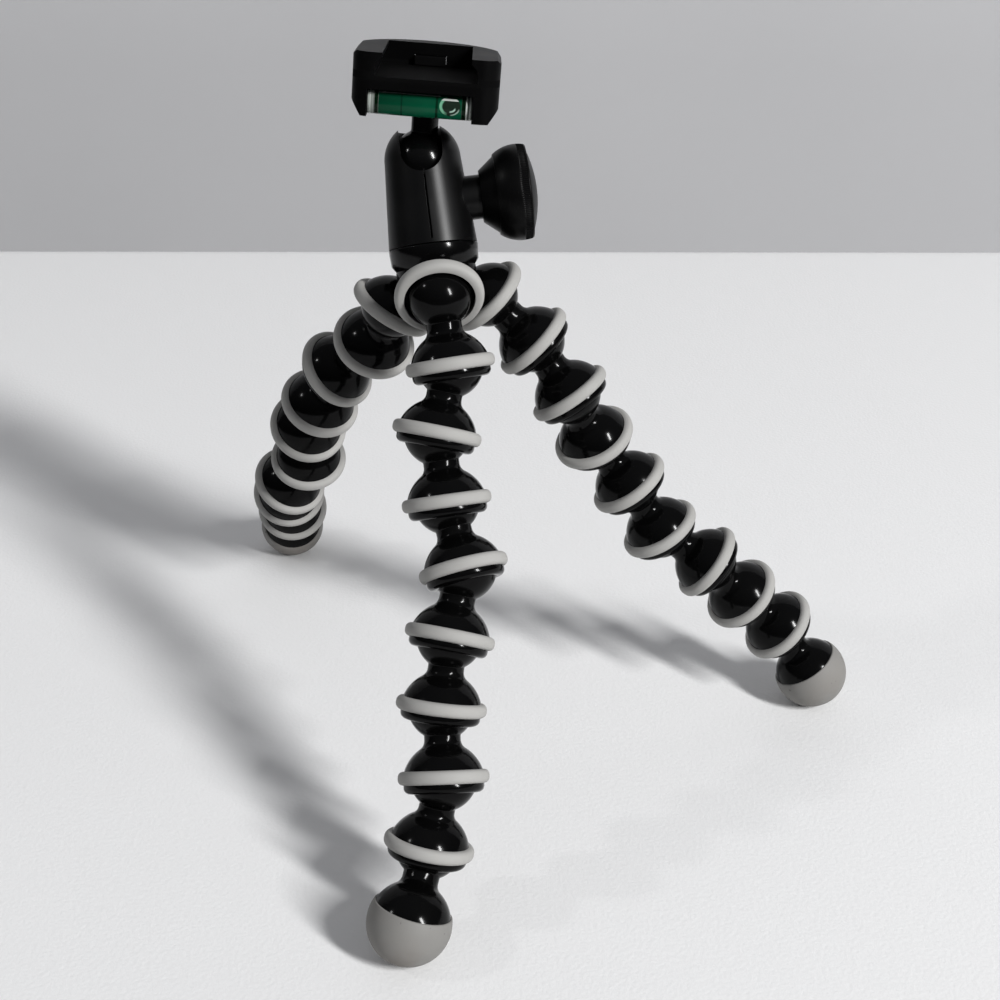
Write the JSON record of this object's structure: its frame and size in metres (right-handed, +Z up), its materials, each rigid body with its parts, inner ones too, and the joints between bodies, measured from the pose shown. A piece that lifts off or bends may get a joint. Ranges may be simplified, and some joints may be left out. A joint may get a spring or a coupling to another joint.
{
  "type": "flexible leg tripod",
  "caption": "Small camera tripod with bendable legs of ball-and-socket segments in grey grip rings, under a ball head with a lock knob and a level clamp.",
  "frame": {"origin": "on the floor under the middle of the part's box, as it stands on its feet", "axes": "+Z up; -Y to the front, where the spirit level and one foot point; +X to the lock knob's side"},
  "size_m": [0.2262, 0.267, 0.2417],
  "materials": {
    "segment_black": "moulded, high gloss",
    "hub_black": "moulded, gloss",
    "ring_grey": "satin grip rubber, warm grey",
    "foot_grey": "satin grip rubber cup over a gloss black dome",
    "base_black": "satin black",
    "housing_black": "black anodised, semi-gloss",
    "ball_black": "black anodised, smooth",
    "knob_black": "satin black, fluted rim",
    "clamp_black": "black anodised, semi-gloss",
    "latch_black": "satin black",
    "vial_green": "clear tube of green spirit"
  },
  "bodies": {
    "hub": {"hub": "hub_black", "hub_rings": "ring_grey", "pan_base": "base_black"},
    "head": {"head_housing": "housing_black"},
    "knob": {"lock_knob": "knob_black"},
    "ball": {"ball_stem": "ball_black"},
    "clamp": {"clamp_body": "clamp_black", "level_vial": "vial_green"},
    "latch": {"plate_latch": "latch_black"},
    "front_link_1": {"front_segment_1": "segment_black", "front_ring_1": "ring_grey"},
    "front_link_2": {"front_segment_2": "segment_black", "front_ring_2": "ring_grey"},
    "front_link_3": {"front_segment_3": "segment_black", "front_ring_3": "ring_grey"},
    "front_link_4": {"front_segment_4": "segment_black", "front_ring_4": "ring_grey"},
    "front_link_5": {"front_segment_5": "segment_black", "front_ring_5": "ring_grey"},
    "front_link_6": {"front_segment_6": "segment_black", "front_ring_6": "ring_grey"},
    "front_link_7": {"front_segment_7": "segment_black", "front_ring_7": "ring_grey"},
    "front_link_8": {"front_segment_8": "segment_black", "front_ring_8": "ring_grey"},
    "front_foot": {"front_foot": "foot_grey"},
    "right_link_1": {"right_segment_1": "segment_black", "right_ring_1": "ring_grey"},
    "right_link_2": {"right_segment_2": "segment_black", "right_ring_2": "ring_grey"},
    "right_link_3": {"right_segment_3": "segment_black", "right_ring_3": "ring_grey"},
    "right_link_4": {"right_segment_4": "segment_black", "right_ring_4": "ring_grey"},
    "right_link_5": {"right_segment_5": "segment_black", "right_ring_5": "ring_grey"},
    "right_link_6": {"right_segment_6": "segment_black", "right_ring_6": "ring_grey"},
    "right_link_7": {"right_segment_7": "segment_black", "right_ring_7": "ring_grey"},
    "right_link_8": {"right_segment_8": "segment_black", "right_ring_8": "ring_grey"},
    "right_foot": {"right_foot": "foot_grey"},
    "left_link_1": {"left_segment_1": "segment_black", "left_ring_1": "ring_grey"},
    "left_link_2": {"left_segment_2": "segment_black", "left_ring_2": "ring_grey"},
    "left_link_3": {"left_segment_3": "segment_black", "left_ring_3": "ring_grey"},
    "left_link_4": {"left_segment_4": "segment_black", "left_ring_4": "ring_grey"},
    "left_link_5": {"left_segment_5": "segment_black", "left_ring_5": "ring_grey"},
    "left_link_6": {"left_segment_6": "segment_black", "left_ring_6": "ring_grey"},
    "left_link_7": {"left_segment_7": "segment_black", "left_ring_7": "ring_grey"},
    "left_link_8": {"left_segment_8": "segment_black", "left_ring_8": "ring_grey"},
    "left_foot": {"left_foot": "foot_grey"}
  },
  "joints": [
    {"name": "head_pan", "type": "hinge", "parent": "hub", "child": "head", "pos_m": [-0.03836, 0.00783, 0.17907], "axis": [-0.1182, 0.428, 0.896], "continuous": true},
    {"name": "ball_tilt", "type": "hinge", "parent": "head", "child": "ball", "pos_m": [-0.0416, 0.01955, 0.20362], "axis": [0.9973, -0.0317, -0.0663], "range_deg": [-26, 57]},
    {"name": "clamp_swivel", "type": "hinge", "parent": "ball", "child": "clamp", "pos_m": [-0.0416, 0.01955, 0.20362], "axis": [0.0699, 0.13, 0.989], "continuous": true},
    {"name": "knob_turn", "type": "hinge", "parent": "head", "child": "knob", "pos_m": [-0.04002, 0.01382, 0.19162], "axis": [0.993, 0.0509, 0.1066], "range_deg": [0, 270]},
    {"name": "latch_slide", "type": "slide", "parent": "clamp", "child": "latch", "axis": [0.0227, 0.991, -0.1319], "range_m": [0, 0.0024], "stiffness_N_per_m": 800, "springref_m": -0.002},
    {"name": "front_bend_1", "type": "hinge", "parent": "hub", "child": "front_link_1", "pos_m": [-0.03635, -0.01569, 0.1716], "axis": [-0.993, -0.0509, -0.1066], "range_deg": [-1, 91]},
    {"name": "front_sway_2", "type": "hinge", "parent": "front_link_1", "child": "front_link_2", "pos_m": [-0.03308, -0.02482, 0.15248], "axis": [0.008, 0.8788, -0.4771], "range_deg": [-47, 7]},
    {"name": "front_bend_3", "type": "hinge", "parent": "front_link_2", "child": "front_link_3", "pos_m": [-0.03725, -0.03483, 0.13398], "axis": [0.9808, -0.0998, -0.1673], "range_deg": [-19, 21]},
    {"name": "front_sway_4", "type": "hinge", "parent": "front_link_3", "child": "front_link_4", "pos_m": [-0.03435, -0.0453, 0.1155], "axis": [-0.0234, -0.7941, 0.6073], "range_deg": [-32, 20]},
    {"name": "front_bend_5", "type": "hinge", "parent": "front_link_4", "child": "front_link_5", "pos_m": [-0.02929, -0.05805, 0.09902], "axis": [0.9715, 0.1254, 0.2014], "range_deg": [-15, 11]},
    {"name": "front_sway_6", "type": "hinge", "parent": "front_link_5", "child": "front_link_6", "pos_m": [-0.03349, -0.07019, 0.08186], "axis": [0.0321, 0.8607, -0.5082], "range_deg": [-23, 31]},
    {"name": "front_bend_7", "type": "hinge", "parent": "front_link_6", "child": "front_link_7", "pos_m": [-0.03617, -0.08093, 0.0635], "axis": [0.9916, -0.0911, -0.0915], "range_deg": [-19, 33]},
    {"name": "front_sway_8", "type": "hinge", "parent": "front_link_7", "child": "front_link_8", "pos_m": [-0.03556, -0.09399, 0.0465], "axis": [-0.0103, -0.9025, 0.4306], "range_deg": [-11, 39]},
    {"name": "front_bend_9", "type": "hinge", "parent": "front_link_8", "child": "front_foot", "pos_m": [-0.04009, -0.10297, 0.02757], "axis": [0.9774, -0.1001, -0.1863], "range_deg": [-3, 51]},
    {"name": "right_bend_1", "type": "hinge", "parent": "hub", "child": "right_link_1", "pos_m": [-0.02087, 0.00946, 0.16162], "axis": [-0.4965, 0.756, -0.4266], "range_deg": [-50, 38]},
    {"name": "right_sway_2", "type": "hinge", "parent": "right_link_1", "child": "right_link_2", "pos_m": [-0.00567, 0.00753, 0.14663], "axis": [0.6963, 0.6254, 0.3523], "range_deg": [-27, 23]},
    {"name": "right_bend_3", "type": "hinge", "parent": "right_link_2", "child": "right_link_3", "pos_m": [0.0066, 0.00352, 0.12951], "axis": [0.4334, -0.7576, 0.4881], "range_deg": [-22, 6]},
    {"name": "right_sway_4", "type": "hinge", "parent": "right_link_3", "child": "right_link_4", "pos_m": [0.01581, 0.0082, 0.11072], "axis": [-0.6245, -0.6525, -0.4292], "range_deg": [-45, 9]},
    {"name": "right_bend_5", "type": "hinge", "parent": "right_link_4", "child": "right_link_5", "pos_m": [0.02855, 0.00734, 0.0935], "axis": [-0.507, 0.7567, -0.4127], "range_deg": [-29, 25]},
    {"name": "right_sway_6", "type": "hinge", "parent": "right_link_5", "child": "right_link_6", "pos_m": [0.04023, 0.00684, 0.07552], "axis": [-0.4939, -0.637, -0.5918], "range_deg": [-40, 8]},
    {"name": "right_bend_7", "type": "hinge", "parent": "right_link_6", "child": "right_link_7", "pos_m": [0.0575, 0.00514, 0.06294], "axis": [0.3269, -0.7667, 0.5525], "range_deg": [-20, 20]},
    {"name": "right_sway_8", "type": "hinge", "parent": "right_link_7", "child": "right_link_8", "pos_m": [0.07155, 0.00888, 0.04718], "axis": [0.4939, 0.637, 0.5918], "range_deg": [-22, 33]},
    {"name": "right_bend_9", "type": "hinge", "parent": "right_link_8", "child": "right_foot", "pos_m": [0.08662, 0.0112, 0.03211], "axis": [-0.5121, 0.7632, -0.3941], "range_deg": [-42, 12]},
    {"name": "left_bend_1", "type": "hinge", "parent": "hub", "child": "left_link_1", "pos_m": [-0.05183, 0.00788, 0.1583], "axis": [0.4965, 0.8069, -0.32], "range_deg": [-50, 24]},
    {"name": "left_sway_2", "type": "hinge", "parent": "left_link_1", "child": "left_link_2", "pos_m": [-0.0586, 0.01896, 0.14124], "axis": [0.4781, -0.4585, -0.7491], "range_deg": [-9, 41]},
    {"name": "left_bend_3", "type": "hinge", "parent": "left_link_2", "child": "left_link_3", "pos_m": [-0.07189, 0.02814, 0.12714], "axis": [-0.6222, -0.7788, 0.0796], "range_deg": [-39, 11]},
    {"name": "left_sway_4", "type": "hinge", "parent": "left_link_3", "child": "left_link_4", "pos_m": [-0.07931, 0.03799, 0.1096], "axis": [-0.5814, 0.5063, 0.6369], "range_deg": [-17, 37]},
    {"name": "left_bend_5", "type": "hinge", "parent": "left_link_4", "child": "left_link_5", "pos_m": [-0.08507, 0.05127, 0.09378], "axis": [0.7679, 0.6001, 0.224], "range_deg": [-12, 42]},
    {"name": "left_sway_6", "type": "hinge", "parent": "left_link_5", "child": "left_link_6", "pos_m": [-0.08654, 0.06195, 0.07525], "axis": [-0.5835, 0.4754, 0.6584], "range_deg": [-34, 10]},
    {"name": "left_bend_7", "type": "hinge", "parent": "left_link_6", "child": "left_link_7", "pos_m": [-0.09524, 0.07335, 0.05931], "axis": [-0.7036, -0.7007, -0.1176], "range_deg": [-17, 17]},
    {"name": "left_sway_8", "type": "hinge", "parent": "left_link_7", "child": "left_link_8", "pos_m": [-0.09765, 0.08955, 0.04548], "axis": [-0.5928, 0.564, 0.5749], "range_deg": [-26, 28]},
    {"name": "left_bend_9", "type": "hinge", "parent": "left_link_8", "child": "left_foot", "pos_m": [-0.09821, 0.10456, 0.03017], "axis": [0.8049, 0.4383, 0.4], "range_deg": [-28, 26]}
  ]
}
